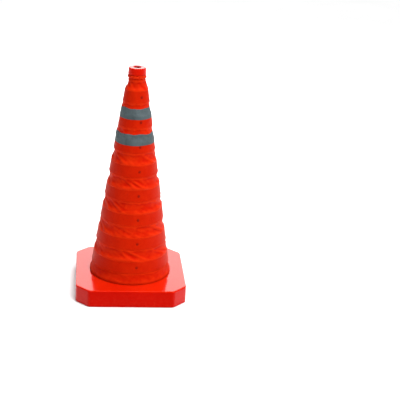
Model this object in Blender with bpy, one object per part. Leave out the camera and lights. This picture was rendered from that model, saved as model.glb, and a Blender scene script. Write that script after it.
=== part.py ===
"""Folding traffic cone: a nest of plastic hoops inside a fabric sleeve, on a square moulded base.

The cone stands on Z.  Every stage is one free panel of the sleeve and the hoop above it.  A stage
slides down inside the hoop below it (the cone folds flat into the base), and it also tips over to -X
about the taut side of its panel (the cone bends over when something runs into it).
Lengths are in metres, +Z is up, and the origin is on the ground under the cone's axis.
"""
import math

import bmesh
import bpy
from mathutils import Matrix, Vector

# ---- driving dimensions ---------------------------------------------------------------------------
GAP = 0.0003                  # assembly gap between neighbouring pieces

BASE_SIDE = 0.300             # square base, flat to flat
BASE_CHAMFER = 0.036          # cut across each corner, along the side
BASE_TOP_Z = 0.048
BASE_FOOT_Z = 0.0015          # lower edge of the base's walls
BASE_WALL = 0.003
BASE_EDGE_R = 0.0040          # rounding along the top edge
BASE_CORNER_R = 0.0060        # rounding of the upright edges
MOUTH_R = 0.1110              # round mouth of the base
COLLAR_WALL = 0.0030          # tube round the mouth, under the top wall
COLLAR_Z = 0.0355             # lower edge of that tube
MOUTH_FLARE = 0.0012          # easing of the mouth's upper edge

PLATE_Z = (0.0025, 0.0055)    # bottom plate, which is the floor of the well
PLATE_INSET = 0.0005          # clearance between the plate and the base's walls
BOSS_AT = 0.1320              # screw bosses, one at the middle of each side
BOSS_R = 0.0055
BOSS_HOLE_R = 0.0019
BOSS_HOLE_DEPTH = 0.0140
SCREW_R = 0.0016
SCREW_HEAD_R = 0.0036
SCREW_HEAD_H = 0.0012
SCREW_LENGTH = 0.0125
FOOT_AT = 0.1130              # rubber feet, in the corners, along X and along Y
FOOT_R = 0.0110
FOOT_H = 0.0022

HEM_Z = (0.0365, 0.0472)      # fabric hem of the sleeve, inside the mouth
HEM_R = (0.1101, 0.1107)
CLAMP_Z = (0.0360, 0.0465)    # hoop that holds the hem against the collar
CLAMP_R = (0.1076, 0.1098)
CLAMP_RIVETS = 6
CLAMP_RIVET_Z = 0.0412

RINGS = 8                     # hoops, counted from the base upwards
RING_Z0 = 0.0810              # lower edge of the lowest hoop
RING_PITCH = 0.0652
RING_H = 0.0300
RING_R0 = 0.1062              # outer radius at the lower edge of the lowest hoop, fabric included
RING_STEP = 0.01005           # each hoop is this much smaller in radius than the one below
RING_TAPER = 0.0045           # each hoop loses this much radius from its lower to its upper edge
BAND_T = 0.0005               # fabric over a hoop
BAND_GAP = 0.0005             # clearance between the fabric and the hoop
STRIP_T = 0.0010              # hoop strip
LAP_HALF = 0.0110             # half of the lap where the strip's ends are riveted
RIVET_X = 0.0130              # the rivets stand in one upright line
RIVET_R = 0.0015
RIVET_HOLE_R = 0.0018
RIVET_HEAD_R = 0.0034
RIVET_HEAD_H = 0.0007
RIVET_TAIL_H = 0.0006

PANEL_T = 0.0006              # free fabric between two hoops
PANEL_GAP = 0.0004
PANEL_SAG = 0.0012            # how far the slack fabric stands out over the hoop below
TAPE_T = 0.0004               # reflective tape on the sleeve
TAPE_H = 0.0285
TAPES = {"upper": (8, 0.0080), "lower": (7, 0.0112)}   # panel, overlap onto the hoop below it

CAP_TOP_Z = 0.6265
CAP_R = 0.0232                # at the rim
CAP_LOW_R = 0.0243            # at the lower edge of the cap's outer wall
CAP_HOLE_R = 0.0103
CAP_TOP_T = 0.0030
CAP_GROOVE_Z = 0.6085         # lower edge of the cap's outer wall
CAP_SKIRT_R = 0.0190
CAP_SKIRT_Z = 0.5930
CAP_WALL = 0.0020
NECK_Z = 0.5960               # where the top panel ends
NECK_R = 0.0228
COLLAR_ROLL_Z = (0.5985, 0.6080)
COLLAR_ROLL_R = 0.0251
NECK_BAND_Z = (0.5945, 0.5980)

SEGMENTS = 30                 # facets round the sleeve and the hoops
FINE = 60                     # facets round the base's mouth
CAP_SEGMENTS = 30

RED = (0.80, 0.035, 0.008)
COLOURS = {
    "base_plastic": (0.78, 0.012, 0.004, 0.22, 0.0),
    "plate_plastic": (0.045, 0.045, 0.048, 0.55, 0.0),
    "foot_rubber": (0.03, 0.03, 0.03, 0.85, 0.0),
    "screw_steel": (0.55, 0.56, 0.58, 0.30, 1.0),
    "hoop_plastic": (0.74, 0.05, 0.015, 0.45, 0.0),
    "rivet_metal": (0.45, 0.05, 0.03, 0.40, 0.6),
    "clamp_plastic": (0.60, 0.02, 0.008, 0.40, 0.0),
    "sleeve_fabric": (*RED, 0.62, 0.0),
    "reflective_tape": (0.30, 0.34, 0.36, 0.38, 0.0),
    "cap_plastic": (0.72, 0.012, 0.004, 0.20, 0.0),
}


# ---- scene helpers --------------------------------------------------------------------------------
def clear_scene():
    for obj in list(bpy.data.objects):
        bpy.data.objects.remove(obj, do_unlink=True)
    for store in (bpy.data.meshes, bpy.data.materials):
        for item in list(store):
            if item.users == 0:
                store.remove(item)


def material(slot):
    """The slot's Principled material, made the first time it is asked for."""
    mat = bpy.data.materials.get(slot)
    if mat is None:
        red, green, blue, rough, metal = COLOURS[slot]
        mat = bpy.data.materials.new(slot)
        mat.use_nodes = True
        shader = mat.node_tree.nodes["Principled BSDF"]
        shader.inputs["Base Color"].default_value = (red, green, blue, 1.0)
        shader.inputs["Roughness"].default_value = rough
        shader.inputs["Metallic"].default_value = metal
        mat.diffuse_color = (red, green, blue, 1.0)
    return mat


def empty(name, at, parent=None):
    """An empty at a world position, for instance on a joint's axis."""
    obj = bpy.data.objects.new(name, None)
    bpy.context.scene.collection.objects.link(obj)
    obj.empty_display_size = 0.02
    place(obj, at, parent)
    return obj


def place(obj, at, parent=None):
    """Puts an object at a world position under a parent.  Nothing is turned at rest."""
    obj["world"] = tuple(at)
    offset = Vector(at)
    if parent is not None:
        obj.parent = parent
        offset -= Vector(parent["world"])
    obj.location = offset


def finish(bm, name, slot, at=(0.0, 0.0, 0.0), parent=None, smooth=30.0):
    """Turns a bmesh into a named object with its material and its place in the tree."""
    bmesh.ops.remove_doubles(bm, verts=bm.verts, dist=1e-7)
    bmesh.ops.recalc_face_normals(bm, faces=bm.faces)
    mesh = bpy.data.meshes.new(name)
    bm.to_mesh(mesh)
    bm.free()
    mesh.materials.append(material(slot))
    mesh.shade_smooth()
    mesh.set_sharp_from_angle(angle=math.radians(smooth))
    obj = bpy.data.objects.new(name, mesh)
    bpy.context.scene.collection.objects.link(obj)
    place(obj, at, parent)
    return obj


def cutter(bm, name, at=(0.0, 0.0, 0.0)):
    """A guide shape for a Boolean, which isn't a piece of the object."""
    bmesh.ops.recalc_face_normals(bm, faces=bm.faces)
    mesh = bpy.data.meshes.new(name)
    bm.to_mesh(mesh)
    bm.free()
    obj = bpy.data.objects.new(name, mesh)
    bpy.context.scene.collection.objects.link(obj)
    obj.location = at
    obj.hide_render = True
    obj.display_type = "WIRE"
    return obj


def boolean(obj, tool, operation):
    mod = obj.modifiers.new(operation.lower() + "_" + tool.name, "BOOLEAN")
    mod.object = tool
    mod.operation = operation
    mod.solver = "EXACT"


# ---- shape helpers --------------------------------------------------------------------------------
def spin_profile(bm, points, steps):
    """Spins a closed outline of (radius, z) points about Z into a ring-shaped solid."""
    verts = [bm.verts.new((radius, 0.0, z)) for radius, z in points]
    edges = [bm.edges.new((verts[i], verts[(i + 1) % len(verts)])) for i in range(len(verts))]
    bmesh.ops.spin(bm, geom=verts + edges, cent=(0, 0, 0), axis=(0, 0, 1), dvec=(0, 0, 0),
                   angle=2 * math.pi, steps=steps, use_merge=True, use_duplicate=False)


def shell_outline(points, thickness):
    """A closed outline of even thickness inside an open line of (radius, z) points."""
    inner = []
    for i, (radius, z) in enumerate(points):
        before = points[max(i - 1, 0)]
        after = points[min(i + 1, len(points) - 1)]
        along = Vector((after[0] - before[0], after[1] - before[1])).normalized()
        inner.append((radius - thickness * along.y, z + thickness * along.x))
    return list(points) + inner[::-1]


def add_cylinder(bm, radius, z_low, z_high, centre=(0.0, 0.0), segments=24, top_radius=None):
    made = bmesh.ops.create_cone(
        bm, cap_ends=True, segments=segments, radius1=radius,
        radius2=radius if top_radius is None else top_radius, depth=z_high - z_low,
        matrix=Matrix.Translation((centre[0], centre[1], (z_low + z_high) / 2)))
    return made["verts"]


def chamfered_square(bm, side, chamfer, z_low, z_high, edge_r, corner_r, steps=(1, 1)):
    """A square block with cut corners, rounded upright edges and a rounded top edge.

    `steps` is how many facets round each upright edge and the top edge.
    """
    half = side / 2
    cut = half - chamfer
    corners = [(cut, -half), (half, -cut), (half, cut), (cut, half),
               (-cut, half), (-half, cut), (-half, -cut), (-cut, -half)]
    base = bm.faces.new([bm.verts.new((x, y, z_low)) for x, y in corners])
    grown = bmesh.ops.extrude_face_region(bm, geom=[base])
    top = [item for item in grown["geom"] if isinstance(item, bmesh.types.BMVert)]
    bmesh.ops.translate(bm, verts=top, vec=(0, 0, z_high - z_low))
    bm.normal_update()
    upright = [e for e in bm.edges if abs(e.verts[0].co.z - e.verts[1].co.z) > 1e-6]
    bmesh.ops.bevel(bm, geom=upright, offset=corner_r, offset_type="OFFSET", segments=steps[0],
                    profile=0.5, affect="EDGES")
    upper = [e for e in bm.edges if min(v.co.z for v in e.verts) > z_high - 1e-6]
    bmesh.ops.bevel(bm, geom=upper, offset=edge_r, offset_type="OFFSET", segments=steps[1],
                    profile=0.5, affect="EDGES")


def turned(direction, at):
    """A frame whose Z points along a direction, placed at a point."""
    return Matrix.Translation(at) @ Vector((0, 0, 1)).rotation_difference(direction).to_matrix().to_4x4()


def rivet_solid(bm, low, high, frame, head_r, tail_r, segments=12):
    """A rivet along its own Z: a domed head outside `high` and a flat tail inside `low`."""
    head, tail = RIVET_HEAD_H, RIVET_TAIL_H
    profile = [(0.0, low - tail), (tail_r, low - tail), (tail_r, low), (RIVET_R, low),
               (RIVET_R, high), (head_r, high), (head_r * 0.72, high + head * 0.80), (0.0, high + head)]
    verts = [bm.verts.new((radius, 0.0, z)) for radius, z in profile]
    edges = [bm.edges.new((verts[i], verts[i + 1])) for i in range(len(verts) - 1)]
    bmesh.ops.spin(bm, geom=verts + edges, cent=(0, 0, 0), axis=(0, 0, 1), dvec=(0, 0, 0),
                   angle=2 * math.pi, steps=segments, use_merge=True, use_duplicate=False)
    bmesh.ops.remove_doubles(bm, verts=bm.verts, dist=1e-7)
    bmesh.ops.transform(bm, matrix=frame, verts=bm.verts)


# ---- stage geometry -------------------------------------------------------------------------------
def ring_low_z(ring):
    return RING_Z0 + RING_PITCH * (ring - 1)


def ring_low_r(ring):
    return RING_R0 - RING_STEP * (ring - 1)


def panel_line(stage):
    """The slack outer line of a panel, from the hoop below (or the base) to the hoop above."""
    if stage == 1:
        low_r, low_z = HEM_R[1], HEM_Z[1] + PANEL_GAP
        lean = 0.0016
    else:
        low_r, low_z = ring_low_r(stage - 1) - RING_TAPER, ring_low_z(stage - 1) + RING_H + PANEL_GAP
        lean = PANEL_SAG
    if stage == RINGS + 1:
        high_r, high_z = NECK_R, NECK_Z - PANEL_GAP
    else:
        high_r, high_z = ring_low_r(stage), ring_low_z(stage) - PANEL_GAP
    rise = high_z - low_z
    return [(low_r, low_z),
            (low_r + (high_r - low_r) * 0.25 + lean, low_z + rise * 0.25),
            (high_r, high_z)]


def radius_on(line, z):
    """The radius of an open (radius, z) line at a height."""
    for (r_low, z_low), (r_high, z_high) in zip(line, line[1:]):
        if z_low <= z <= z_high:
            return r_low + (r_high - r_low) * (z - z_low) / (z_high - z_low)
    return line[-1][0]


# ---- base -----------------------------------------------------------------------------------------
def make_base(root):
    bm = bmesh.new()
    chamfered_square(bm, BASE_SIDE, BASE_CHAMFER, BASE_FOOT_Z, BASE_TOP_Z, BASE_EDGE_R, BASE_CORNER_R,
                     steps=(3, 4))
    cover = finish(bm, "base_cover", "base_plastic", parent=root)

    bm = bmesh.new()
    inner_side = BASE_SIDE - 2 * BASE_WALL
    inner_chamfer = BASE_CHAMFER - BASE_WALL * (2 - math.sqrt(2))
    chamfered_square(bm, inner_side, inner_chamfer, -0.010, BASE_TOP_Z - BASE_WALL,
                     BASE_EDGE_R - 0.001, BASE_CORNER_R - 0.002)
    boolean(cover, cutter(bm, "base_hollow"), "DIFFERENCE")

    bm = bmesh.new()
    add_cylinder(bm, MOUTH_R + COLLAR_WALL, COLLAR_Z, BASE_TOP_Z - BASE_WALL / 2, segments=FINE)
    boolean(cover, cutter(bm, "base_collar"), "UNION")

    bosses = [(BOSS_AT, 0.0), (0.0, BOSS_AT), (-BOSS_AT, 0.0), (0.0, -BOSS_AT)]
    bm = bmesh.new()
    for centre in bosses:
        add_cylinder(bm, BOSS_R, PLATE_Z[1] + GAP, BASE_TOP_Z - BASE_WALL / 2, centre, segments=14)
    boolean(cover, cutter(bm, "base_bosses"), "UNION")

    bm = bmesh.new()
    flare_z = BASE_TOP_Z - MOUTH_FLARE
    profile = [(0.0, COLLAR_Z - 0.005), (MOUTH_R, COLLAR_Z - 0.005), (MOUTH_R, flare_z),
               (MOUTH_R + MOUTH_FLARE * 0.35, flare_z + MOUTH_FLARE * 0.7),
               (MOUTH_R + MOUTH_FLARE, BASE_TOP_Z + 0.0001), (MOUTH_R + MOUTH_FLARE, BASE_TOP_Z + 0.004),
               (0.0, BASE_TOP_Z + 0.004)]
    verts = [bm.verts.new((radius, 0.0, z)) for radius, z in profile]
    edges = [bm.edges.new((verts[i], verts[i + 1])) for i in range(len(verts) - 1)]
    bmesh.ops.spin(bm, geom=verts + edges, cent=(0, 0, 0), axis=(0, 0, 1), dvec=(0, 0, 0),
                   angle=2 * math.pi, steps=FINE, use_merge=True, use_duplicate=False)
    bmesh.ops.remove_doubles(bm, verts=bm.verts, dist=1e-7)
    boolean(cover, cutter(bm, "base_mouth"), "DIFFERENCE")

    bm = bmesh.new()
    for centre in bosses:
        add_cylinder(bm, BOSS_HOLE_R, 0.0, PLATE_Z[1] + GAP + BOSS_HOLE_DEPTH, centre, segments=12)
    boolean(cover, cutter(bm, "base_boss_holes"), "DIFFERENCE")

    # bottom plate with a counterbored hole for each screw
    bm = bmesh.new()
    plate_side = inner_side - 2 * PLATE_INSET
    chamfered_square(bm, plate_side, inner_chamfer, PLATE_Z[0], PLATE_Z[1], 0.0006, 0.0045)
    plate = finish(bm, "base_plate", "plate_plastic", parent=root)
    bm = bmesh.new()
    for centre in bosses:
        add_cylinder(bm, SCREW_R + GAP, PLATE_Z[0] - 0.001, PLATE_Z[1] + 0.001, centre, segments=12)
    boolean(plate, cutter(bm, "plate_holes"), "DIFFERENCE")
    bm = bmesh.new()
    for centre in bosses:
        add_cylinder(bm, SCREW_HEAD_R + GAP, PLATE_Z[0] - 0.001, PLATE_Z[0] + SCREW_HEAD_H + 0.0004,
                     centre, segments=14)
    boolean(plate, cutter(bm, "plate_counterbores"), "DIFFERENCE")

    for number, (x, y) in enumerate(bosses, 1):
        bm = bmesh.new()
        low = PLATE_Z[0] + 0.0001
        profile = [(0.0, low), (SCREW_HEAD_R * 0.86, low), (SCREW_HEAD_R, low + 0.0003),
                   (SCREW_HEAD_R, low + SCREW_HEAD_H - 0.0001), (SCREW_R, low + SCREW_HEAD_H - 0.0001),
                   (SCREW_R, low + SCREW_LENGTH - 0.002), (0.0, low + SCREW_LENGTH)]
        verts = [bm.verts.new((radius, 0.0, z - low)) for radius, z in profile]
        edges = [bm.edges.new((verts[i], verts[i + 1])) for i in range(len(verts) - 1)]
        bmesh.ops.spin(bm, geom=verts + edges, cent=(0, 0, 0), axis=(0, 0, 1), dvec=(0, 0, 0),
                       angle=2 * math.pi, steps=12, use_merge=True, use_duplicate=False)
        finish(bm, f"plate_screw_{number}", "screw_steel", (x, y, low), root)

    for number, (sx, sy) in enumerate([(1, 1), (-1, 1), (-1, -1), (1, -1)], 1):
        bm = bmesh.new()
        add_cylinder(bm, FOOT_R, 0.0, FOOT_H, segments=20)
        low_rim = [e for e in bm.edges if max(v.co.z for v in e.verts) < 1e-6]
        bmesh.ops.bevel(bm, geom=low_rim, offset=0.0005, offset_type="OFFSET", segments=1,
                        affect="EDGES")
        finish(bm, f"foot_{number}", "foot_rubber", (sx * FOOT_AT, sy * FOOT_AT, 0.0), root)


def make_hem(root):
    """The sleeve's hem, the hoop that clamps it inside the mouth, and the rivets through both."""
    bm = bmesh.new()
    spin_profile(bm, [(HEM_R[0], HEM_Z[0]), (HEM_R[1], HEM_Z[0]), (HEM_R[1], HEM_Z[1]),
                      (HEM_R[0], HEM_Z[1])], FINE)
    hem = finish(bm, "sleeve_hem", "sleeve_fabric", parent=root)
    bm = bmesh.new()
    low, high = CLAMP_Z
    spin_profile(bm, [(CLAMP_R[0] + 0.0006, low), (CLAMP_R[1], low), (CLAMP_R[1], high),
                      (CLAMP_R[0] + 0.0010, high), (CLAMP_R[0], high - 0.0010),
                      (CLAMP_R[0], low + 0.0006)], FINE)
    clamp = finish(bm, "clamp_ring", "clamp_plastic", parent=root)

    holes = bmesh.new()
    directions = []
    for number in range(CLAMP_RIVETS):
        angle = 2 * math.pi * (number + 0.5) / CLAMP_RIVETS
        directions.append(Vector((math.cos(angle), math.sin(angle), 0.0)))
    for direction in directions:
        frame = turned(direction, direction * ((CLAMP_R[0] + MOUTH_R) / 2) + Vector((0, 0, CLAMP_RIVET_Z)))
        bmesh.ops.create_cone(holes, cap_ends=True, segments=10, radius1=RIVET_HOLE_R,
                              radius2=RIVET_HOLE_R, depth=0.020, matrix=frame)
    tool = cutter(holes, "clamp_rivet_holes")
    for obj in (hem, clamp, bpy.data.objects["base_cover"]):
        boolean(obj, tool, "DIFFERENCE")
    for number, direction in enumerate(directions, 1):
        at = Vector((0, 0, CLAMP_RIVET_Z))
        bm = bmesh.new()
        rivet_solid(bm, CLAMP_R[0] - GAP, MOUTH_R + COLLAR_WALL + GAP, turned(direction, (0, 0, 0)),
                    RIVET_HEAD_R, 0.0030)
        finish(bm, f"clamp_rivet_{number}", "rivet_metal", at, root)


# ---- hoops ----------------------------------------------------------------------------------------
def facet_radius(radius, angle):
    """The radius of a SEGMENTS-sided polygon, with a corner at angle 0, in a given direction."""
    step = 2 * math.pi / SEGMENTS
    return radius * math.cos(step / 2) / math.cos(angle % step - step / 2)


def strip_mesh(bm, ring, seam):
    """A hoop bent from one strip.  Its last stretch ducks inside its first, where it is riveted.

    Angles are counted from the seam, and the strip keeps parallel to the fabric's facets.
    """
    outer = ring_low_r(ring) - BAND_T - BAND_GAP
    step = 2 * math.pi / SEGMENTS
    lap = LAP_HALF / outer
    ramp = 0.8 * lap + step
    end = 2 * math.pi + lap
    duck_from = end - 2 * lap - ramp
    angles = [-lap] + [step * i for i in range(SEGMENTS) if step * i < duck_from - 0.3 * step]
    angles += [duck_from + ramp * share for share in (0.0, 0.35, 0.65, 1.0)] + [2 * math.pi, end]
    loops = []
    for angle in angles:
        duck = min(1.0, max(0.0, (angle - duck_from) / ramp))
        inward = (STRIP_T + GAP) * duck * duck * (3 - 2 * duck)
        ends = []
        for radius, z in ((outer, 0.0004), (outer - RING_TAPER, RING_H - 0.0004)):
            for depth in (0.0, STRIP_T):
                r = facet_radius(radius - inward - depth, angle)
                ends.append(bm.verts.new((r * math.cos(angle + seam), r * math.sin(angle + seam), z)))
        loops.append([ends[0], ends[2], ends[3], ends[1]])
    for one, two in zip(loops, loops[1:]):
        for j in range(4):
            bm.faces.new((one[j], one[(j + 1) % 4], two[(j + 1) % 4], two[j]))
    bm.faces.new(loops[0])
    bm.faces.new(loops[-1][::-1])


def make_ring(ring, parent):
    low_z, low_r = ring_low_z(ring), ring_low_r(ring)
    mid_r = low_r - RING_TAPER / 2
    seam = -math.pi / 2 + math.asin(RIVET_X / mid_r)
    at = (0.0, 0.0, low_z)

    bm = bmesh.new()
    strip_mesh(bm, ring, seam)
    strip = finish(bm, f"ring_strip_{ring}", "hoop_plastic", at, parent)

    bm = bmesh.new()
    outline = shell_outline([(low_r, 0.0), (low_r - RING_TAPER, RING_H)], BAND_T)
    spin_profile(bm, outline, SEGMENTS)
    bmesh.ops.rotate(bm, verts=bm.verts, cent=(0, 0, 0), matrix=Matrix.Rotation(seam, 3, "Z"))
    band = finish(bm, f"sleeve_band_{ring}", "sleeve_fabric", at, parent)

    lean = math.atan2(RING_TAPER, RING_H)
    direction = Vector((math.cos(seam) * math.cos(lean), math.sin(seam) * math.cos(lean), math.sin(lean)))
    point = Vector((mid_r * math.cos(seam), mid_r * math.sin(seam), RING_H / 2))
    bm = bmesh.new()
    bmesh.ops.create_cone(bm, cap_ends=True, segments=10, radius1=RIVET_HOLE_R, radius2=RIVET_HOLE_R,
                          depth=0.012, matrix=turned(direction, point))
    tool = cutter(bm, f"rivet_hole_{ring}", at)
    boolean(strip, tool, "DIFFERENCE")
    boolean(band, tool, "DIFFERENCE")

    depth = BAND_T + BAND_GAP + 2 * STRIP_T + GAP
    bm = bmesh.new()
    rivet_solid(bm, -(depth + GAP + 0.0002), GAP, turned(direction, (0, 0, 0)), RIVET_HEAD_R, 0.0028)
    finish(bm, f"rivet_{ring}", "rivet_metal", Vector(at) + point, parent)


# ---- free sleeve ----------------------------------------------------------------------------------
def make_panel(stage, parent):
    line = panel_line(stage)
    low_z = line[0][1]
    local = [(radius, z - low_z) for radius, z in line]
    bm = bmesh.new()
    spin_profile(bm, shell_outline(local, PANEL_T), SEGMENTS)
    finish(bm, f"sleeve_panel_{stage}", "sleeve_fabric", (0.0, 0.0, low_z), parent, smooth=60.0)


def make_tape(name, parent):
    """Reflective tape on the lower part of a panel, lapped over the hoop below it."""
    stage, overlap = TAPES[name]
    ring = stage - 1
    line = panel_line(stage)
    hoop_top = ring_low_z(ring) + RING_H
    low_z = hoop_top - overlap
    top_z = low_z + TAPE_H
    stand_off = GAP + TAPE_T + 0.0001
    slope = RING_TAPER / RING_H
    low_r = ring_low_r(ring) - slope * (low_z - ring_low_z(ring))
    points = [(low_r, low_z), (ring_low_r(ring) - slope * (RING_H - 0.0020), hoop_top - 0.0020)]
    points += [(radius, z) for radius, z in line if hoop_top + 0.004 < z < top_z - 0.004]
    points.append((radius_on(line, top_z), top_z))
    outer = [(radius + stand_off, z - low_z) for radius, z in points]
    bm = bmesh.new()
    spin_profile(bm, shell_outline(outer, TAPE_T), SEGMENTS)
    seam = -math.pi / 2 + math.asin(RIVET_X / (ring_low_r(ring) - RING_TAPER / 2))
    bmesh.ops.rotate(bm, verts=bm.verts, cent=(0, 0, 0), matrix=Matrix.Rotation(seam, 3, "Z"))
    finish(bm, f"reflective_tape_{name}", "reflective_tape", (0.0, 0.0, low_z), parent, smooth=60.0)


# ---- cap ------------------------------------------------------------------------------------------
def make_cap(parent):
    at = Vector((0.0, 0.0, NECK_Z))
    top, groove, skirt = CAP_TOP_Z - NECK_Z, CAP_GROOVE_Z - NECK_Z, CAP_SKIRT_Z - NECK_Z
    outline = [
        (CAP_SKIRT_R - CAP_WALL, skirt), (CAP_SKIRT_R - 0.0004, skirt), (CAP_SKIRT_R, skirt + 0.0006),
        (CAP_SKIRT_R, groove - 0.0004), (CAP_LOW_R - 0.0016, groove - 0.0004),
        (CAP_LOW_R, groove + 0.0010),
        (CAP_R, top - 0.0022), (CAP_R - 0.0005, top - 0.0007), (CAP_R - 0.0020, top),
        (CAP_HOLE_R + 0.0010, top), (CAP_HOLE_R, top - 0.0010),
        (CAP_HOLE_R, top - CAP_TOP_T), (CAP_SKIRT_R - CAP_WALL, top - CAP_TOP_T - 0.0010),
    ]
    bm = bmesh.new()
    spin_profile(bm, outline, CAP_SEGMENTS)
    finish(bm, "cap_body", "cap_plastic", at, parent)

    # gathered end of the sleeve, rolled into a soft collar under the cap
    low, high = COLLAR_ROLL_Z[0] - NECK_Z, COLLAR_ROLL_Z[1] - NECK_Z
    middle_z, half_z = (low + high) / 2, (high - low) / 2
    inner = CAP_SKIRT_R + GAP
    middle_r, half_r = (COLLAR_ROLL_R + inner) / 2, (COLLAR_ROLL_R - inner) / 2
    outline = [(middle_r + half_r * math.cos(2 * math.pi * i / 8) * 0.999,
                middle_z + half_z * math.sin(2 * math.pi * i / 8)) for i in range(8)]
    bm = bmesh.new()
    spin_profile(bm, outline, CAP_SEGMENTS)
    finish(bm, "cap_collar", "sleeve_fabric", at, parent, smooth=60.0)

    low, high = NECK_BAND_Z[0] - NECK_Z, NECK_BAND_Z[1] - NECK_Z
    inner = CAP_SKIRT_R + GAP
    bm = bmesh.new()
    spin_profile(bm, [(inner, low), (inner + 0.0010, low), (inner + 0.0014, low + 0.0006),
                      (inner + 0.0014, high - 0.0006), (inner + 0.0010, high), (inner, high)], CAP_SEGMENTS)
    finish(bm, "neck_band", "hoop_plastic", at, parent)


# ---- assembly -------------------------------------------------------------------------------------
def build():
    clear_scene()
    root = empty("base_frame", (0.0, 0.0, 0.0))
    make_base(root)
    make_hem(root)
    below = root
    for stage in range(1, RINGS + 2):
        line = panel_line(stage)
        slide = empty(f"slide_{stage}", (0.0, 0.0, line[0][1]), below)
        make_panel(stage, slide)
        hinge = empty(f"tip_{stage}", (line[-1][0], 0.0, line[-1][1] + PANEL_GAP), slide)
        if stage <= RINGS:
            make_ring(stage, hinge)
        else:
            make_cap(hinge)
        for name, (tape_stage, _) in TAPES.items():
            if tape_stage == stage:
                make_tape(name, slide)
        below = hinge


build()
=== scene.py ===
"""Folding traffic cone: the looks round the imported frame.  Lengths are in metres, +Z is up."""
import math

import bmesh
import bpy
import numpy as np
from mathutils import Matrix, Vector


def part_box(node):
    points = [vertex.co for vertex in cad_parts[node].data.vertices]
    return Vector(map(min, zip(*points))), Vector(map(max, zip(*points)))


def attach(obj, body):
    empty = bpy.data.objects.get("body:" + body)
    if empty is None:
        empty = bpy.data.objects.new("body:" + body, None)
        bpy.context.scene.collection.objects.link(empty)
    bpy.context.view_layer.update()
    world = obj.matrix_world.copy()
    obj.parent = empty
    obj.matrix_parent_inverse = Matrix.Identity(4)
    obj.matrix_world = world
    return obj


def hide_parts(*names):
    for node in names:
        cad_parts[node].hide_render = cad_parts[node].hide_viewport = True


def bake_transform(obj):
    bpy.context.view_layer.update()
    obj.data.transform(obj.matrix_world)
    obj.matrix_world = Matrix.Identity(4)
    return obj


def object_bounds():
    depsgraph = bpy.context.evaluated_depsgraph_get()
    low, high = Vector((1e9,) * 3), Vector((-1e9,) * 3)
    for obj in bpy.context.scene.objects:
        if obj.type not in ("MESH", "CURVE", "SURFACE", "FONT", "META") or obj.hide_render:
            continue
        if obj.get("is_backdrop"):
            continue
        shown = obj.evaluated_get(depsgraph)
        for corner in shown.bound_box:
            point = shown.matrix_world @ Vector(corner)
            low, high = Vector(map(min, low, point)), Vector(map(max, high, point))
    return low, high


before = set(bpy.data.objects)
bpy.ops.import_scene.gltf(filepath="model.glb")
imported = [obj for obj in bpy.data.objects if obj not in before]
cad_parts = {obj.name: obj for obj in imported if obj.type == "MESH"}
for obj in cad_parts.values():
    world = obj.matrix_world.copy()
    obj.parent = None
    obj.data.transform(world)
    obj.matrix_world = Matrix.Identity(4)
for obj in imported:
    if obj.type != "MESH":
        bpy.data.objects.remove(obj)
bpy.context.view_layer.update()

# ---- the sleeve -----------------------------------------------------------------------------------
RINGS = 8
RING_TAPER = 0.0045                    # radius that each hoop loses from its lower to its upper edge
TURN = 0.0035                          # stretch of sleeve under a hoop that crosses the tipping joint
TUCK = 0.0009                          # how far the sleeve is drawn in just under a hoop
TUCK_RISE = 0.0012                     # height over which it is drawn in
MESH_STEP = 0.0026                     # size of the sleeve's mesh
PANEL_ROWS = 14                        # rows of points in a panel's grid
FABRIC_T = 0.0004
THREAD = 0.00075                       # spacing of the weave
NECK_R, NECK_Z = 0.0228, 0.5960        # where the top panel ends, under the cap's collar
SEAM_ANGLE = math.radians(78)          # the sleeve's upright seam, at the back
SEAM_STEP, SEAM_HALF, SEAM_EASE = 0.0004, 0.0045, 0.0005   # its height, half its width and its slope
EDGE_LINE_IN, EDGE_LINE_W, EDGE_LINE_H = 0.0015, 0.0008, 0.00022   # line of the hoop's edge in a band
DIMPLE_R, DIMPLE_DEPTH = 0.0050, 0.00045   # fabric drawn in round a rivet

# ---- its folds ------------------------------------------------------------------------------------
CREASE, CREASE_LEAN = 0.0036, 0.85     # size and slant of the folds a panel starts with
SLACK_UP, SLACK_ROUND = 0.115, 0.002   # how much too tall and too wide a panel is
UNEVEN = 0.9                           # how unevenly that height is spread round the cone
DRIFT = -0.0035                        # how far a panel's upper edge is turned aside
FABRIC_BENDING = 0.5
CLOTH_FRAMES, CLOTH_DRAWN = 16, 8      # frames solved, and the frame by which the edges are drawn home
SMOOTHING, FOLD_GAIN = 2, 1.3          # passes over the solved folds, and how much they are raised again
FOLD_OUT, FOLD_IN = 0.0030, 0.0036     # how far the folds may reach

# ---- its reflective tapes -------------------------------------------------------------------------
TAPES = (("upper", 8, 0.0080, 0.0285), ("lower", 7, 0.0112, 0.0285))   # panel, lap on the hoop, height
TAPED = [stage for _, stage, _, _ in TAPES]
TAPE_STAND = 0.00045                   # how far a tape's face stands out from the fabric's
TAPE_WEAVE = 0.0011                    # spacing of the weave under the glass beads
SEWN_ROWS = 3                          # rows of a panel left under a tape's upper edge, where it is sewn

# ---- the base cover -------------------------------------------------------------------------------
BASE_CHAMFER = 0.036                   # cut across each corner, along the side
BASE_WALL = 0.003
BASE_EDGE_R, BASE_CORNER_R = 0.0040, 0.0060   # roundings of the top edge and of the upright edges
MOUTH_R, MOUTH_FLARE = 0.1110, 0.0012  # round mouth, and the easing of its upper edge
COLLAR_Z = 0.0355                      # lower edge of the tube round the mouth

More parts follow.
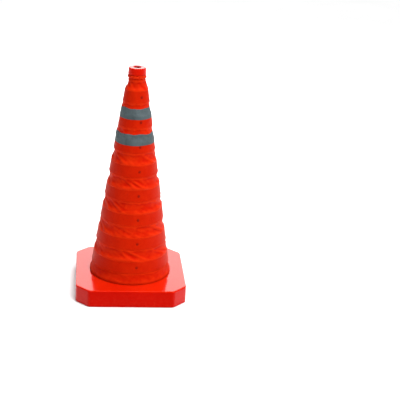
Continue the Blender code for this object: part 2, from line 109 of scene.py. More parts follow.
# ---- sizes read from the frame --------------------------------------------------------------------
hoops = {}
for ring in range(1, RINGS + 1):
    low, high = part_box(f"sleeve_band_{ring}")
    radius = max(high[0], -low[0], high[1], -low[1])
    hoops[ring] = {"low_z": low[2], "high_z": high[2], "low_r": radius, "high_r": radius - RING_TAPER}
base_low, base_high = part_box("base_cover")
BASE_TOP = base_high[2]
hem_low, hem_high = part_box("sleeve_hem")
HEM_R = hem_high[0]
cap_low, cap_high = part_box("cap_body")
CAP_TOP = cap_high[2]
collar_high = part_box("cap_collar")[1]


# ---- camera, lights, floor ------------------------------------------------------------------------
def make_camera():
    """A long lens standing to the left of the cone, 2.8 m off and 1.3 m up, turned a little."""
    yaw, pitch, roll = math.radians(6.606), math.radians(20.896), math.radians(3.500)
    forward = Vector((math.sin(yaw) * math.cos(pitch), math.cos(yaw) * math.cos(pitch), -math.sin(pitch)))
    side = Vector((math.cos(yaw), -math.sin(yaw), 0.0))
    up = side.cross(forward)
    right = side * math.cos(roll) + up * math.sin(roll)
    above = up * math.cos(roll) - side * math.sin(roll)
    data = bpy.data.cameras.new("camera")
    data.sensor_width = 36.0
    data.lens = 99.48
    data.clip_start, data.clip_end = 0.1, 200.0
    camera = bpy.data.objects.new("camera", data)
    bpy.context.scene.collection.objects.link(camera)
    turn = Matrix((right, above, -forward)).transposed().to_4x4()
    camera.matrix_world = Matrix.Translation((-0.1414, -2.8254, 1.3427)) @ turn
    bpy.context.scene.camera = camera


def area_light(name, at, target, size, watts):
    data = bpy.data.lights.new(name, "AREA")
    data.shape = "RECTANGLE"
    data.size, data.size_y = size
    data.energy = watts
    light = bpy.data.objects.new(name, data)
    bpy.context.scene.collection.objects.link(light)
    light.location = at
    light.rotation_euler = (Vector(target) - Vector(at)).to_track_quat("-Z", "Y").to_euler()


def make_studio():
    """A white surround, a broad sun from the right, a panel behind, a light overhead and a pale floor."""
    bpy.context.scene.view_settings.view_transform = "Standard"
    world = bpy.data.worlds.new("studio")
    bpy.context.scene.world = world
    world.use_nodes = True
    world.node_tree.nodes["Background"].inputs["Color"].default_value = (1.0, 1.0, 1.0, 1.0)
    world.node_tree.nodes["Background"].inputs["Strength"].default_value = 0.44
    sun = bpy.data.lights.new("sun", "SUN")
    sun.energy, sun.angle = 2.55, math.radians(30.0)
    key = bpy.data.objects.new("sun", sun)
    bpy.context.scene.collection.objects.link(key)
    key.rotation_euler = Vector((-0.62, 0.62, -1.10)).to_track_quat("-Z", "Y").to_euler()
    area_light("back_panel", (0.25, 2.5, 1.35), (0, 0, 0.1), (3.2, 2.0), 66.0)
    area_light("top", (0.3, -0.2, 2.6), (0, 0, 0), (1.4, 1.4), 45.0)
    bm = bmesh.new()
    bmesh.ops.create_grid(bm, x_segments=1, y_segments=1, size=60.0)
    mesh = bpy.data.meshes.new("floor")
    bm.to_mesh(mesh)
    bm.free()
    floor = bpy.data.objects.new("floor", mesh)
    bpy.context.scene.collection.objects.link(floor)
    mat, links = new_material("floor_paper")
    shader = mat.node_tree.nodes["Principled BSDF"]
    shader.inputs["Roughness"].default_value = 0.75
    shader.inputs["Specular IOR Level"].default_value = 0.12
    tint = noise(mat, scale=3.0, detail=2.0)
    ramp = colour_ramp(mat, tint, ((0.3, (0.90, 0.90, 0.90)), (0.7, (0.93, 0.93, 0.93))))
    links.new(ramp.outputs["Color"], shader.inputs["Base Color"])
    mesh.materials.append(mat)
    floor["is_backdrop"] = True


# ---- material helpers -----------------------------------------------------------------------------
def new_material(name):
    mat = bpy.data.materials.new(name)
    mat.use_nodes = True
    return mat, mat.node_tree.links


def node(mat, kind, **values):
    made = mat.node_tree.nodes.new(kind)
    for key, value in values.items():
        setattr(made, key, value)
    return made


def coordinates(mat, output="Object"):
    """The surface's own coordinates, in metres."""
    return node(mat, "ShaderNodeTexCoord").outputs[output]


def noise(mat, scale, detail=3.0, rough=0.55, distortion=0.0):
    made = node(mat, "ShaderNodeTexNoise")
    made.inputs["Scale"].default_value = scale
    made.inputs["Detail"].default_value = detail
    made.inputs["Roughness"].default_value = rough
    made.inputs["Distortion"].default_value = distortion
    mat.node_tree.links.new(coordinates(mat), made.inputs["Vector"])
    return made.outputs["Fac"]


def colour_ramp(mat, value, stops):
    ramp = node(mat, "ShaderNodeValToRGB")
    elements = ramp.color_ramp.elements
    while len(elements) < len(stops):
        elements.new(0.5)
    for element, (place, colour) in zip(elements, stops):
        element.position = place
        element.color = (*colour, 1.0)
    mat.node_tree.links.new(value, ramp.inputs["Fac"])
    return ramp


def value_range(mat, value, low, high, from_low=0.0, from_high=1.0):
    made = node(mat, "ShaderNodeMapRange")
    made.inputs["From Min"].default_value = from_low
    made.inputs["From Max"].default_value = from_high
    made.inputs["To Min"].default_value = low
    made.inputs["To Max"].default_value = high
    mat.node_tree.links.new(value, made.inputs["Value"])
    return made.outputs["Result"]


def maths(mat, operation, one, two):
    made = node(mat, "ShaderNodeMath", operation=operation)
    for socket, item in zip(made.inputs, (one, two)):
        if isinstance(item, (int, float)):
            socket.default_value = item
        else:
            mat.node_tree.links.new(item, socket)
    return made.outputs["Value"]


def bump(mat, height, distance, strength=1.0, under=None):
    made = node(mat, "ShaderNodeBump")
    made.inputs["Distance"].default_value = distance
    made.inputs["Strength"].default_value = strength
    mat.node_tree.links.new(height, made.inputs["Height"])
    if under is not None:
        mat.node_tree.links.new(under, made.inputs["Normal"])
    return made.outputs["Normal"]


def waves(mat, vector, direction, pitch):
    """Fine parallel ridges, pitch metres apart."""
    made = node(mat, "ShaderNodeTexWave", wave_type="BANDS", bands_direction=direction)
    made.inputs["Scale"].default_value = 2 * math.pi / 20 / pitch
    made.inputs["Detail"].default_value = 0.0
    mat.node_tree.links.new(vector, made.inputs["Vector"])
    return made.outputs["Fac"]


def mix_colour(mat, factor, one, two):
    made = node(mat, "ShaderNodeMix", data_type="RGBA")
    mat.node_tree.links.new(factor, made.inputs[0])
    for socket, item in ((made.inputs[6], one), (made.inputs[7], two)):
        if isinstance(item, tuple):
            socket.default_value = (*item, 1.0)
        else:
            mat.node_tree.links.new(item, socket)
    return made.outputs[2]


# ---- materials ------------------------------------------------------------------------------------
def fabric_material(name, deep, light, rough, weave_depth):
    """Woven sleeve fabric: threads both ways, soft crumples, uneven dye, painted highlight on fold crests,
    painted shade in hollows.
    """
    mat, links = new_material(name)
    shader = mat.node_tree.nodes["Principled BSDF"]
    uv = coordinates(mat, "UV")
    threads = maths(mat, "MULTIPLY", waves(mat, uv, "X", THREAD), waves(mat, uv, "Y", THREAD))
    cloud = noise(mat, 40.0, 5.0, 0.65, distortion=0.8)
    geometry = node(mat, "ShaderNodeNewGeometry")
    # Painted light and shade: by pointiness, the crests of folds are painted lighter and their hollows
    # darker.
    crest_highlight_crease_shade = value_range(mat, geometry.outputs["Pointiness"], -0.30, 0.30, 0.46, 0.54)
    ramp = colour_ramp(mat, maths(mat, "ADD", cloud, crest_highlight_crease_shade), ((0.30, deep), (0.72, light)))
    woven = mix_colour(mat, value_range(mat, threads, 0.0, 0.16), ramp.outputs["Color"],
                       (deep[0] * 0.62, deep[1] * 0.5, deep[2] * 0.5))
    links.new(woven, shader.inputs["Base Color"])
    links.new(value_range(mat, noise(mat, 60.0), rough - 0.06, rough + 0.10), shader.inputs["Roughness"])
    shader.inputs["Specular IOR Level"].default_value = 0.06
    shader.inputs["Specular Tint"].default_value = (1.0, 0.20, 0.07, 1.0)
    shader.inputs["Sheen Weight"].default_value = 0.06
    shader.inputs["Sheen Roughness"].default_value = 0.40
    shader.inputs["Sheen Tint"].default_value = (1.0, 0.40, 0.10, 1.0)
    crumple = noise(mat, 95.0, 3.0, 0.5, distortion=0.6)
    first = bump(mat, crumple, 0.0007, 0.55)
    links.new(bump(mat, threads, weave_depth, 0.45, first), shader.inputs["Normal"])
    return mat


def tape_material():
    """Bluish grey reflective tape: fine glass-bead grain and soft creases."""
    mat, links = new_material("reflective_tape_look")
    shader = mat.node_tree.nodes["Principled BSDF"]
    uv = coordinates(mat, "UV")
    weave = maths(mat, "MULTIPLY", waves(mat, uv, "X", TAPE_WEAVE), waves(mat, uv, "Y", TAPE_WEAVE))
    cloud = noise(mat, 30.0, 5.0, 0.65)
    ramp = colour_ramp(mat, cloud, ((0.28, (0.026, 0.040, 0.044)), (0.75, (0.068, 0.096, 0.105))))
    grain = mix_colour(mat, value_range(mat, weave, 0.0, 0.25), ramp.outputs["Color"], (0.05, 0.065, 0.07))
    links.new(grain, shader.inputs["Base Color"])
    links.new(value_range(mat, noise(mat, 140.0), 0.50, 0.68), shader.inputs["Roughness"])
    shader.inputs["Metallic"].default_value = 0.10
    shader.inputs["Specular IOR Level"].default_value = 0.45
    crease = noise(mat, 90.0, 4.0, 0.6, distortion=1.6)
    beads = node(mat, "ShaderNodeTexVoronoi")
    beads.inputs["Scale"].default_value = 1600.0
    links.new(coordinates(mat), beads.inputs["Vector"])
    first = bump(mat, crease, 0.0020, 0.85)
    links.new(bump(mat, beads.outputs["Distance"], 0.00006, 0.5, first), shader.inputs["Normal"])
    return mat


def plastic_material(name, deep, light, rough, specular, grain=900.0, depth=0.00002,
                     tint=(1.0, 1.0, 1.0), painted_top_light=None):
    """Moulded plastic: clouded colour, fine skin, dust in the gloss and rubbed edges.

    The last argument, painted light on the top, is (height where it starts, height where it is full, how
    red, green and blue grow): what faces up is painted lighter and pinker, a painted highlight.
    """
    mat, links = new_material(name)
    shader = mat.node_tree.nodes["Principled BSDF"]
    cloud = noise(mat, 9.0, 5.0, 0.6)
    ramp = colour_ramp(mat, cloud, ((0.32, deep), (0.70, light)))
    colour = ramp.outputs["Color"]
    # Painted highlight: the top few millimetres are painted lighter and pinker where the light falls.
    if painted_top_light is not None:
        start, full, top_light_gain = painted_top_light
        place = node(mat, "ShaderNodeSeparateXYZ")
        links.new(coordinates(mat), place.inputs["Vector"])
        upper = colour_ramp(mat, cloud, tuple((at, tuple(c * g for c, g in zip(shade, top_light_gain)))
                                              for at, shade in ((0.32, deep), (0.70, light))))
        colour = mix_colour(mat, value_range(mat, place.outputs["Z"], 0.0, 1.0, start, full),
                            colour, upper.outputs["Color"])
    geometry = node(mat, "ShaderNodeNewGeometry")
    edge = value_range(mat, geometry.outputs["Pointiness"], 0.0, 1.0, 0.53, 0.60)
    scuffs = maths(mat, "MULTIPLY", edge, value_range(mat, noise(mat, 120.0), 0.0, 0.7, 0.45, 0.70))
    worn = mix_colour(mat, scuffs, colour,
                      (min(light[0] * 1.15, 1.0), light[1] * 3.0 + 0.02, light[2] * 3.0 + 0.012))
    specks = noise(mat, 420.0, 2.0, 0.7)
    dusty = mix_colour(mat, value_range(mat, specks, 0.0, 0.35, 0.70, 0.78), worn,
                       (deep[0] * 0.55, deep[1] * 0.5, deep[2] * 0.5))
    links.new(dusty, shader.inputs["Base Color"])
    smears = maths(mat, "ADD", value_range(mat, noise(mat, 26.0, 5.0, 0.65), rough * 0.75, rough * 1.3),
                   value_range(mat, specks, 0.0, 0.25, 0.66, 0.80))
    links.new(smears, shader.inputs["Roughness"])
    shader.inputs["Specular IOR Level"].default_value = specular
    shader.inputs["Specular Tint"].default_value = (*tint, 1.0)
    skin = noise(mat, grain, 2.0)
    ripple = noise(mat, 14.0, 2.0)
    first = bump(mat, ripple, 0.0008, 0.10)
    links.new(bump(mat, skin, depth, 0.5, first), shader.inputs["Normal"])
    return mat


def metal_material(name, colour, rough, metallic, specular=0.5, tint=(1.0, 1.0, 1.0)):
    """Fasteners, bare or painted (metallic 0): grainy colour and a pitted skin."""
    mat, links = new_material(name)
    shader = mat.node_tree.nodes["Principled BSDF"]
    ramp = colour_ramp(mat, noise(mat, 500.0, 3.0, 0.6),
                       ((0.3, tuple(c * 0.7 for c in colour)), (0.7, colour)))
    links.new(ramp.outputs["Color"], shader.inputs["Base Color"])
    links.new(value_range(mat, noise(mat, 900.0), rough * 0.8, rough * 1.3), shader.inputs["Roughness"])
    shader.inputs["Metallic"].default_value = metallic
    shader.inputs["Specular IOR Level"].default_value = specular
    shader.inputs["Specular Tint"].default_value = (*tint, 1.0)
    links.new(bump(mat, noise(mat, 1200.0), 0.00004, 0.6), shader.inputs["Normal"])
    return mat


MATERIALS = {}


def make_materials():
    MATERIALS.update({
        "panel": fabric_material("sleeve_panel_look", (0.45, 0.0060, 0.0006), (0.575, 0.0200, 0.0020),
                                 0.55, 0.00010),
        # The band's copy of the fabric is painted darker than the panel's: painted shade for the flatter,
        # upright stretch over the hoops.
        "band": fabric_material("sleeve_band_shaded_look", (0.410, 0.0075, 0.0008), (0.475, 0.0125, 0.0013),
                                0.48, 0.00007),
        "tape": tape_material(),
        # The base's top gets a painted highlight: its top few millimetres are painted lighter and pinker.
        "base": plastic_material("base_plastic_look", (0.39, 0.0010, 0.0001), (0.45, 0.0020, 0.0002),
                                 0.13, 0.47, tint=(1.0, 0.06, 0.02),
                                 painted_top_light=(BASE_TOP - 0.0035, BASE_TOP - 0.0005, (1.30, 7.0, 6.0))),
        "cap": plastic_material("cap_plastic_look", (0.48, 0.005, 0.001), (0.55, 0.008, 0.0013),
                                0.22, 0.22, depth=0.00001, tint=(1.0, 0.10, 0.04)),
        "hoop": plastic_material("hoop_plastic_look", (0.50, 0.015, 0.004), (0.60, 0.028, 0.007),
                                 0.45, 0.25, tint=(1.0, 0.20, 0.10)),
        "clamp": plastic_material("clamp_plastic_look", (0.42, 0.008, 0.003), (0.52, 0.014, 0.005),
                                  0.45, 0.20, tint=(1.0, 0.15, 0.08)),
        "plate": plastic_material("plate_plastic_look", (0.030, 0.030, 0.032), (0.050, 0.050, 0.054),
                                  0.55, 0.30),
        "rubber": plastic_material("foot_rubber_look", (0.018, 0.018, 0.018), (0.032, 0.032, 0.032),
                                   0.80, 0.20, grain=500.0, depth=0.00008),
        "rivet": metal_material("rivet_look", (0.27, 0.007, 0.002), 0.42, 0.0, 0.15, (1.0, 0.10, 0.05)),
        "screw": metal_material("screw_look", (0.55, 0.56, 0.58), 0.30, 1.0),
    })


# ---- sleeve ---------------------------------------------------------------------------------------
class Waviness:
    """A seeded sum of waves round the cone, so that neighbouring pieces agree where they meet."""

    def __init__(self, seed, counts, size, tilt=0.0, lean=0.0):
        random = np.random.RandomState(seed)
        self.counts = np.array(counts, float)
        self.phases = random.uniform(0, 2 * math.pi, len(counts))
        self.sizes = size * random.uniform(0.5, 1.0, len(counts)) / math.sqrt(len(counts))
        self.tilts = random.uniform(-tilt, tilt, len(counts)) + lean * self.counts

    def __call__(self, angle, height=0.0):
        total = 0.0
        for count, phase, size, tilt in zip(self.counts, self.phases, self.sizes, self.tilts):
            total = total + size * np.cos(count * angle + phase + tilt * height)
        return total


def on_cone(radius, angle, z):
    """Points (…, 3) from radius, angle and height."""
    radius, angle, z = np.broadcast_arrays(radius, angle, z)
    return np.stack([radius * np.cos(angle), radius * np.sin(angle), z], -1)


def panel_ends(stage):
    """(radius, z) at the lower and the upper end of a free panel."""
    if stage == 1:
        lower = (HEM_R, hem_high[2])
    else:
        lower = (hoops[stage - 1]["high_r"], hoops[stage - 1]["high_z"])
    if stage == RINGS + 1:
        upper = (NECK_R, NECK_Z)
    else:
        upper = (hoops[stage]["low_r"], hoops[stage]["low_z"])
    return lower, upper


def stage_angles(stage):
    """Even steps round one stage of the sleeve."""
    (r_low, _), (r_high, _) = panel_ends(stage)
    count = 4 * round(math.pi * (r_low + r_high) / MESH_STEP / 4)
    return np.linspace(-math.pi, math.pi, count, endpoint=False)


def tuck(stage, z):
    """How far a panel is drawn in below the hoop above it, at a height."""
    under = np.clip(panel_ends(stage)[1][1] - z, 0, None)
    depth = TUCK * (0.4 if stage == RINGS + 1 else 0.5 if stage in TAPED else 1.0)
    return depth * np.minimum(1.0, under / TUCK_RISE) ** 0.7


def panel_rest(stage, angles):
    """The panel before its folds form: a grid of points from the hoop below to just under the next."""
    (r_low, z_low), (r_high, z_high) = panel_ends(stage)
    rise = z_high - z_low
    swell = Waviness(100 + stage, (1, 2, 3, 5), 0.0009)
    ripple = Waviness(200 + stage, (5, 9, 13, 18, 24), CREASE, 2.0, CREASE_LEAN)
    bulge, reach = 0.0022, 0.16        # the sag over the hoop below, and the share of the height it takes
    if stage == 1:
        bulge, reach = 0.0034, 0.30
    elif stage in TAPED:
        bulge, reach = 0.0004, 0.12
    rows = []
    for t in np.linspace(0, 1 - TURN / rise, PANEL_ROWS):
        z = z_low + rise * t
        free = math.sin(math.pi * t / (1 - TURN / rise))
        radius = r_low + (r_high - r_low) * t - tuck(stage, z) * min(1.0, t / 0.5)
        sag = math.exp(-((t - 0.14) / reach) ** 2) * (1 - (1 - t) ** 12)
        radius = radius + (bulge + swell(angles)) * sag
        radius = radius + ripple(angles, t) * free
        rows.append(on_cone(radius, angles, z))
    return np.array(rows)


def tube_faces(count, around, first=0):
    """The quads of a grid of points that closes round, its points numbered from first."""
    faces = []
    for j in range(count - 1):
        for i in range(around):
            k = (i + 1) % around
            faces.append((first + j * around + i, first + j * around + k,
                          first + (j + 1) * around + k, first + (j + 1) * around + i))
    return faces


def simulate_panels():
    """Lets every slack panel fall into folds between its hoops, with Blender's cloth solver.

    Each panel starts slightly too tall and unturned.  Its two edges are then drawn to their places
    while the upper one turns a little, which leaves slanting folds.  Returns a grid for each stage.
    """
    grids, starts, targets, faces, held, begin = {}, [], [], [], [], 0
    for stage in range(1, RINGS + 2):
        angles = stage_angles(stage)
        grid = panel_rest(stage, angles)
        random = np.random.RandomState(900 + stage)
        twist = DRIFT * random.uniform(0.6, 1.2) / np.hypot(grid[..., 0], grid[..., 1]).mean()
        share = np.linspace(0, 1, PANEL_ROWS)[:, None]
        uneven = 1 + Waviness(950 + stage, (1, 2, 3, 5, 8), UNEVEN)(angles)
        loose = grid.copy()
        loose[..., 2] = grid[0, 0, 2] + (grid[..., 2] - grid[0, 0, 2]) * (1 + SLACK_UP * uneven)
        turned = grid.copy()
        cos, sin = np.cos(twist * share), np.sin(twist * share)
        turned[..., 0] = grid[..., 0] * cos - grid[..., 1] * sin
        turned[..., 1] = grid[..., 0] * sin + grid[..., 1] * cos
        around = len(angles)
        faces += tube_faces(PANEL_ROWS, around, begin)
        for edge_row in (0, PANEL_ROWS - 1):
            held += [begin + edge_row * around + i for i in range(around)]
        starts.append(loose.reshape(-1, 3))
        targets.append(turned.reshape(-1, 3))
        grids[stage] = (begin, around)
        begin += around * PANEL_ROWS
    mesh = bpy.data.meshes.new("cloth_work")
    mesh.from_pydata(np.concatenate(starts).tolist(), [], faces)
    work = bpy.data.objects.new("cloth_work", mesh)
    bpy.context.scene.collection.objects.link(work)
    work.shape_key_add(name="loose")
    drawn = work.shape_key_add(name="drawn")
    drawn.data.foreach_set("co", np.concatenate(targets).ravel())
    work.vertex_groups.new(name="held").add(held, 1.0, "REPLACE")
    cloth = work.modifiers.new("cloth", "CLOTH")
    cloth.collision_settings.use_collision = False
    settings = cloth.settings
    settings.vertex_group_mass = "held"
    settings.quality = 5
    settings.mass = 0.0008
    settings.tension_stiffness = settings.compression_stiffness = 30.0
    settings.shear_stiffness = 10.0
    settings.bending_stiffness = FABRIC_BENDING
    settings.tension_damping = settings.compression_damping = settings.shear_damping = 8.0
    settings.air_damping = 3.0
    settings.shrink_min = settings.shrink_max = -SLACK_ROUND
    for frame_number, value in ((1, 0.0), (CLOTH_DRAWN, 1.0)):
        drawn.value = value
        drawn.keyframe_insert("value", frame=frame_number)
    scene = bpy.context.scene
    for frame_number in range(1, CLOTH_FRAMES + 1):
        scene.frame_set(frame_number)
    graph = bpy.context.evaluated_depsgraph_get()
    result = work.evaluated_get(graph).to_mesh()
    points = np.empty(len(result.vertices) * 3)
    result.vertices.foreach_get("co", points)
    points = points.reshape(-1, 3)
    found = {}
    for stage, (first, around) in grids.items():
        found[stage] = points[first:first + around * PANEL_ROWS].reshape(PANEL_ROWS, around, 3)
    scene.frame_set(1)
    bpy.data.objects.remove(work, do_unlink=True)
    bpy.data.meshes.remove(mesh)
    for action in list(bpy.data.actions):
        bpy.data.actions.remove(action)
    return found


def smoothed(values):
    """A grid that closes round, without the zigzag from point to point that the cloth solver leaves."""
    for _ in range(SMOOTHING):
        values = (np.roll(values, 1, axis=1) + 2 * values + np.roll(values, -1, axis=1)) / 4
        values[1:-1] = (values[:-2] + 2 * values[1:-1] + values[2:]) / 4
    return values


def settle(stage, grid):
    """Keeps the folds within reach of the plain panel, clear of the hoops and the base."""
    plain = panel_rest(stage, stage_angles(stage))
    plain_angle = np.arctan2(plain[..., 1], plain[..., 0])
    plain_r = np.hypot(plain[..., 0], plain[..., 1]).mean(axis=1, keepdims=True)
    turned = (np.arctan2(grid[..., 1], grid[..., 0]) - plain_angle + math.pi) % (2 * math.pi) - math.pi
    angle = plain_angle + smoothed(turned)
    offset = FOLD_GAIN * smoothed(np.hypot(grid[..., 0], grid[..., 1]) - plain_r)
    calm = 0.35 if stage == 1 else 0.6 if stage in TAPED else 1.0
    reach_in, reach_out = FOLD_IN * calm, FOLD_OUT * calm
    reach = np.where(offset > 0, reach_out, reach_in)
    offset = reach * np.tanh(offset / reach)
    lowest = plain[0, 0, 2] + np.linspace(0, 1, PANEL_ROWS)[:, None] * 0.004
    z = plain[..., 2] + smoothed(grid[..., 2] - plain[..., 2])
    z = np.maximum(z, lowest if stage == 1 else lowest - 0.0015)
    z[0], z[-1] = plain[0, :, 2], plain[-1, :, 2]
    return on_cone(plain_r + offset + seam_ridge(angle, plain_r), angle, z)


def seam_ridge(angle, radius):
    """The lapped seam that closes the sleeve: a low step a few millimetres wide."""
    x = ((angle - SEAM_ANGLE + math.pi) % (2 * math.pi) - math.pi) * radius
    return SEAM_STEP / (1 + np.exp(-(SEAM_HALF - np.abs(x)) / SEAM_EASE))


def band_points(ring, angles, share):
    """Points on the taut fabric over a hoop, share going from 0 at its lower edge to 1."""
    hoop = hoops[ring]
    rise = hoop["high_z"] - hoop["low_z"]
    ripple = Waviness(600 + ring, (2, 3, 5, 9, 14), 0.00030, 3.0)
    rivet_low, rivet_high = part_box(f"rivet_{ring}")
    centre = (Vector(rivet_low) + Vector(rivet_high)) / 2
    radius = hoop["low_r"] - RING_TAPER * share
    height = share * rise
    edge = (np.exp(-((height - EDGE_LINE_IN) / EDGE_LINE_W) ** 2)
            + np.exp(-((rise - height - EDGE_LINE_IN) / EDGE_LINE_W) ** 2))
    fade = np.sin(math.pi * np.clip(share, 0, 1)) ** 0.5
    x = ((angles - math.atan2(centre.y, centre.x) + math.pi) % (2 * math.pi) - math.pi) * radius
    y = hoop["low_z"] + height - centre.z
    dimple = np.exp(-(x ** 2 + y ** 2) / DIMPLE_R ** 2)
    radius = radius + EDGE_LINE_H * edge * fade + ripple(angles, share) * fade - DIMPLE_DEPTH * dimple
    return on_cone(radius + seam_ridge(angles, radius), angles, hoop["low_z"] + height)


def tube(name, rows, material, thickness=FABRIC_T):
    """A closed shell of fabric from a grid of points, with its UV in metres along and across."""
    rows = np.array(rows)
    count, around = rows.shape[:2]
    steps = np.linalg.norm(np.diff(rows, axis=0), axis=-1).mean(axis=1)
    heights = np.concatenate([[0.0], np.cumsum(steps)])
    girth = 2 * math.pi * np.hypot(rows[..., 0], rows[..., 1]).mean()
    girth = THREAD * round(girth / THREAD)
    uvs = []
    for below, above in zip(heights[:-1], heights[1:]):
        for i in range(around):
            left, right = girth * i / around, girth * (i + 1) / around
            uvs += [(left, below), (right, below), (right, above), (left, above)]
    mesh = bpy.data.meshes.new(name)
    mesh.from_pydata(rows.reshape(-1, 3).tolist(), [], tube_faces(count, around))
    mesh.uv_layers.new(name="UVMap").data.foreach_set("uv", np.array(uvs, np.float32).ravel())
    mesh.materials.append(material)
    mesh.shade_smooth()
    obj = bpy.data.objects.new(name, mesh)
    bpy.context.scene.collection.objects.link(obj)
    solid = obj.modifiers.new("thickness", "SOLIDIFY")
    solid.thickness, solid.offset = thickness, -1.0
    graph = bpy.context.evaluated_depsgraph_get()
    obj.data = bpy.data.meshes.new_from_object(obj.evaluated_get(graph))
    obj.modifiers.clear()
    bpy.data.meshes.remove(mesh)
    return obj


def make_stage_fabric(stage, grid):
    """The folding stretch of a panel, the short turn under the hoop, and the band over the hoop."""
    angles = stage_angles(stage)
    (_, z_low), (r_high, z_high) = panel_ends(stage)
    crossing = z_high - TURN
    taped = [tape for tape in TAPES if tape[1] == stage]
    start_row = tape_rows(stage, taped[0][2], taped[0][3]) - 1 - SEWN_ROWS if taped else 0

    panel = tube(f"panel_fabric_{stage}", grid[start_row:], MATERIALS["panel"])
    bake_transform(panel)
    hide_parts(f"sleeve_panel_{stage}")

    first = grid[-1]
    first_angle, first_r = np.arctan2(first[:, 1], first[:, 0]), np.hypot(first[:, 0], first[:, 1])
    rows = []
    for share in (0.0, 0.2, 0.4, 0.6, 0.75, 0.87, 0.95, 1.0):
        z = crossing + TURN * share
        radius = first_r + (r_high + tuck(stage, crossing) - first_r - tuck(stage, z)) * share ** 2
        rows.append(on_cone(radius if share < 1 else r_high, first_angle, z))
    turn = tube(f"turn_fabric_{stage}", rows, MATERIALS["panel"])
    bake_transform(turn)

    if stage <= RINGS:
        shares = np.concatenate([np.linspace(0, 0.10, 5, endpoint=False), np.linspace(0.10, 0.90, 13),
                                 np.linspace(0.90, 1.0, 6)[1:]])
        rows = [band_points(stage, angles, share) for share in shares]
        band = tube(f"band_fabric_{stage}", rows, MATERIALS["band"])
        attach(band, f"ring_{stage}")
        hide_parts(f"sleeve_band_{stage}")


def tape_rows(stage, lap, height):
    """How many rows of the panel's grid a tape covers."""
    (_, z_low), (_, z_high) = panel_ends(stage)
    step = (z_high - TURN - z_low) / (PANEL_ROWS - 1)
    return round((height - lap) / step) + 1


def make_tape(name, stage, lap, height, grid):
    """Reflective tape round the lower part of a panel, lapped over the hoop below it.

    Below its sewn upper edge it stands in for the fabric too, so that the two can't cut through each
    other in a fold.
    """
    angles = stage_angles(stage)
    hoop_rise = hoops[stage - 1]["high_z"] - hoops[stage - 1]["low_z"]
    edge = Waviness(700 + stage, (2, 3, 7), 0.0004)
    drawn = []
    for place in [-lap] + list(np.linspace(-lap + 0.0004, -0.0008, 6)):
        share = 1 + (place + edge(angles) * (place < -0.004)) / hoop_rise
        drawn.append(band_points(stage - 1, angles, share))
    drawn = np.array(drawn + list(grid[:tape_rows(stage, lap, height)]))
    drawn[-1, :, 2] += edge(angles + 1.0)
    outward = drawn * (1, 1, 0)
    outward /= np.linalg.norm(outward, axis=-1, keepdims=True)
    tape = tube(f"tape_{name}", drawn + outward * TAPE_STAND, MATERIALS["tape"], TAPE_STAND - 0.0001)
    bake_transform(tape)
    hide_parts(f"reflective_tape_{name}")


def make_hem():
    """The sleeve's hem inside the mouth of the base."""
    low, high = hem_low[2], hem_high[2]
    radius = HEM_R - 0.0001
    hem = tube("hem_fabric", [on_cone(radius, stage_angles(1), low + (high - low) * s)
                              for s in np.linspace(0, 1, 5)], MATERIALS["panel"])
    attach(hem, "base")
    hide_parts("sleeve_hem")


def make_collar():
    """The sleeve's gathered end: a pleated roll under the cap, drawn in at the neck."""
    angles = np.linspace(-math.pi, math.pi, 144, endpoint=False)
    pleats = Waviness(801, (5, 9, 13, 19), 0.0009, 6.0)
    lean = Waviness(802, (1, 2, 3, 5), 0.0006)
    low, high = NECK_Z, collar_high[2] + 0.0004
    big = collar_high[0]
    profile = [(NECK_R, 0.0), (NECK_R - 0.0007, 0.06), (NECK_R - 0.0008, 0.14), (NECK_R + 0.0003, 0.22),
               (big - 0.0010, 0.32), (big - 0.0003, 0.44), (big, 0.56), (big - 0.0002, 0.68),
               (big - 0.0009, 0.80), (big - 0.0022, 0.90), (big - 0.0040, 0.97), (0.0196, 1.0)]
    rows = []
    for radius, share in profile:
        strength = math.sin(math.pi * share) ** 0.5 if 0 < share < 1 else 0.0
        wave = (pleats(angles, share * 2) - 0.0004) * strength
        rows.append(on_cone(radius + wave, angles, low + (high - low) * share + lean(angles) * strength))
    collar = tube("collar_fabric", rows, MATERIALS["panel"], 0.0004)
    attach(collar, "cap")
    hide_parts("cap_collar")


# ---- moulded parts --------------------------------------------------------------------------------
def object_from(bm, name, material, smooth=35.0):
    """An object from a bmesh, shaded smooth up to an angle in degrees."""
    bmesh.ops.remove_doubles(bm, verts=bm.verts, dist=1e-7)
    bmesh.ops.recalc_face_normals(bm, faces=bm.faces)
    mesh = bpy.data.meshes.new(name)
    bm.to_mesh(mesh)
    bm.free()
    if material is not None:
        mesh.materials.append(material)
    mesh.shade_smooth()
    mesh.set_sharp_from_angle(angle=math.radians(smooth))
    obj = bpy.data.objects.new(name, mesh)
    bpy.context.scene.collection.objects.link(obj)
    return obj


def spin(bm, points, steps, closed=True):
    """Turns an outline of (radius, z) points once round the Z axis."""
    verts = [bm.verts.new((radius, 0.0, z)) for radius, z in points]
    edges = [bm.edges.new((verts[i], verts[i + 1])) for i in range(len(verts) - 1)]
    if closed:
        edges.append(bm.edges.new((verts[-1], verts[0])))
    bmesh.ops.spin(bm, geom=verts + edges, cent=(0, 0, 0), axis=(0, 0, 1), dvec=(0, 0, 0),
                   angle=2 * math.pi, steps=steps, use_merge=True, use_duplicate=False)
    bmesh.ops.remove_doubles(bm, verts=bm.verts, dist=1e-7)


